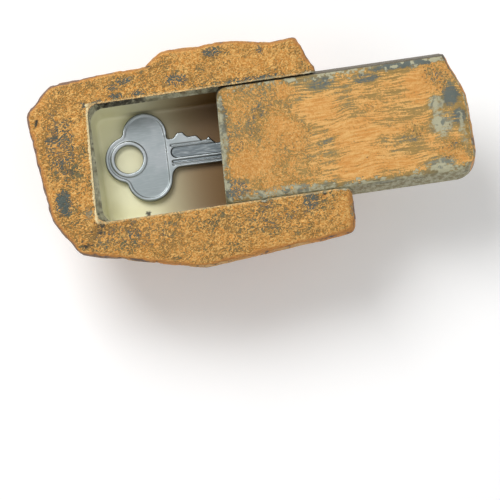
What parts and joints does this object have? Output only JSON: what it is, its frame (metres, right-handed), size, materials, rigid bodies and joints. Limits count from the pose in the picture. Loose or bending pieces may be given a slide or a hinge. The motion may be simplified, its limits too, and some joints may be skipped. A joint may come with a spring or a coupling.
{
  "type": "hide a key rock",
  "caption": "Cast resin stone that hides a door key: a dovetailed cover slides along its flat underside and opens a pocket. Shown on its back, cover part open.",
  "frame": {"origin": "middle of the foot of the whole box, on the surface that the stone's crown rests on, with the cover part open", "axes": "+Z is the outward direction of the stone's flat underside, which faces up; +X is the way that the cover slides open; +Y is towards the flank with the ledge"},
  "size_m": [0.1232, 0.063, 0.038],
  "materials": {
    "painted_resin_body": "cast resin, ochre and grey-green paint brushed and dabbed on, bare cream resin in the pocket",
    "painted_resin_cover": "cast resin, orange brushed over grey-green, pale worn edges",
    "nickel_key": "satin nickel, stamped bow, milled blade"
  },
  "bodies": {
    "stone": {"rock_body": "painted_resin_body"},
    "cover": {"slide_cover": "painted_resin_cover"},
    "key": {"door_key": "nickel_key"}
  },
  "joints": [
    {"name": "cover_slide", "type": "slide", "parent": "stone", "child": "cover", "axis": [1, 0, 0], "range_m": [-0.036, 0.037]},
    {"name": "key_shift", "type": "slide", "parent": "stone", "child": "key", "axis": [1, 0, 0], "range_m": [-0.0005, 0.004]}
  ]
}
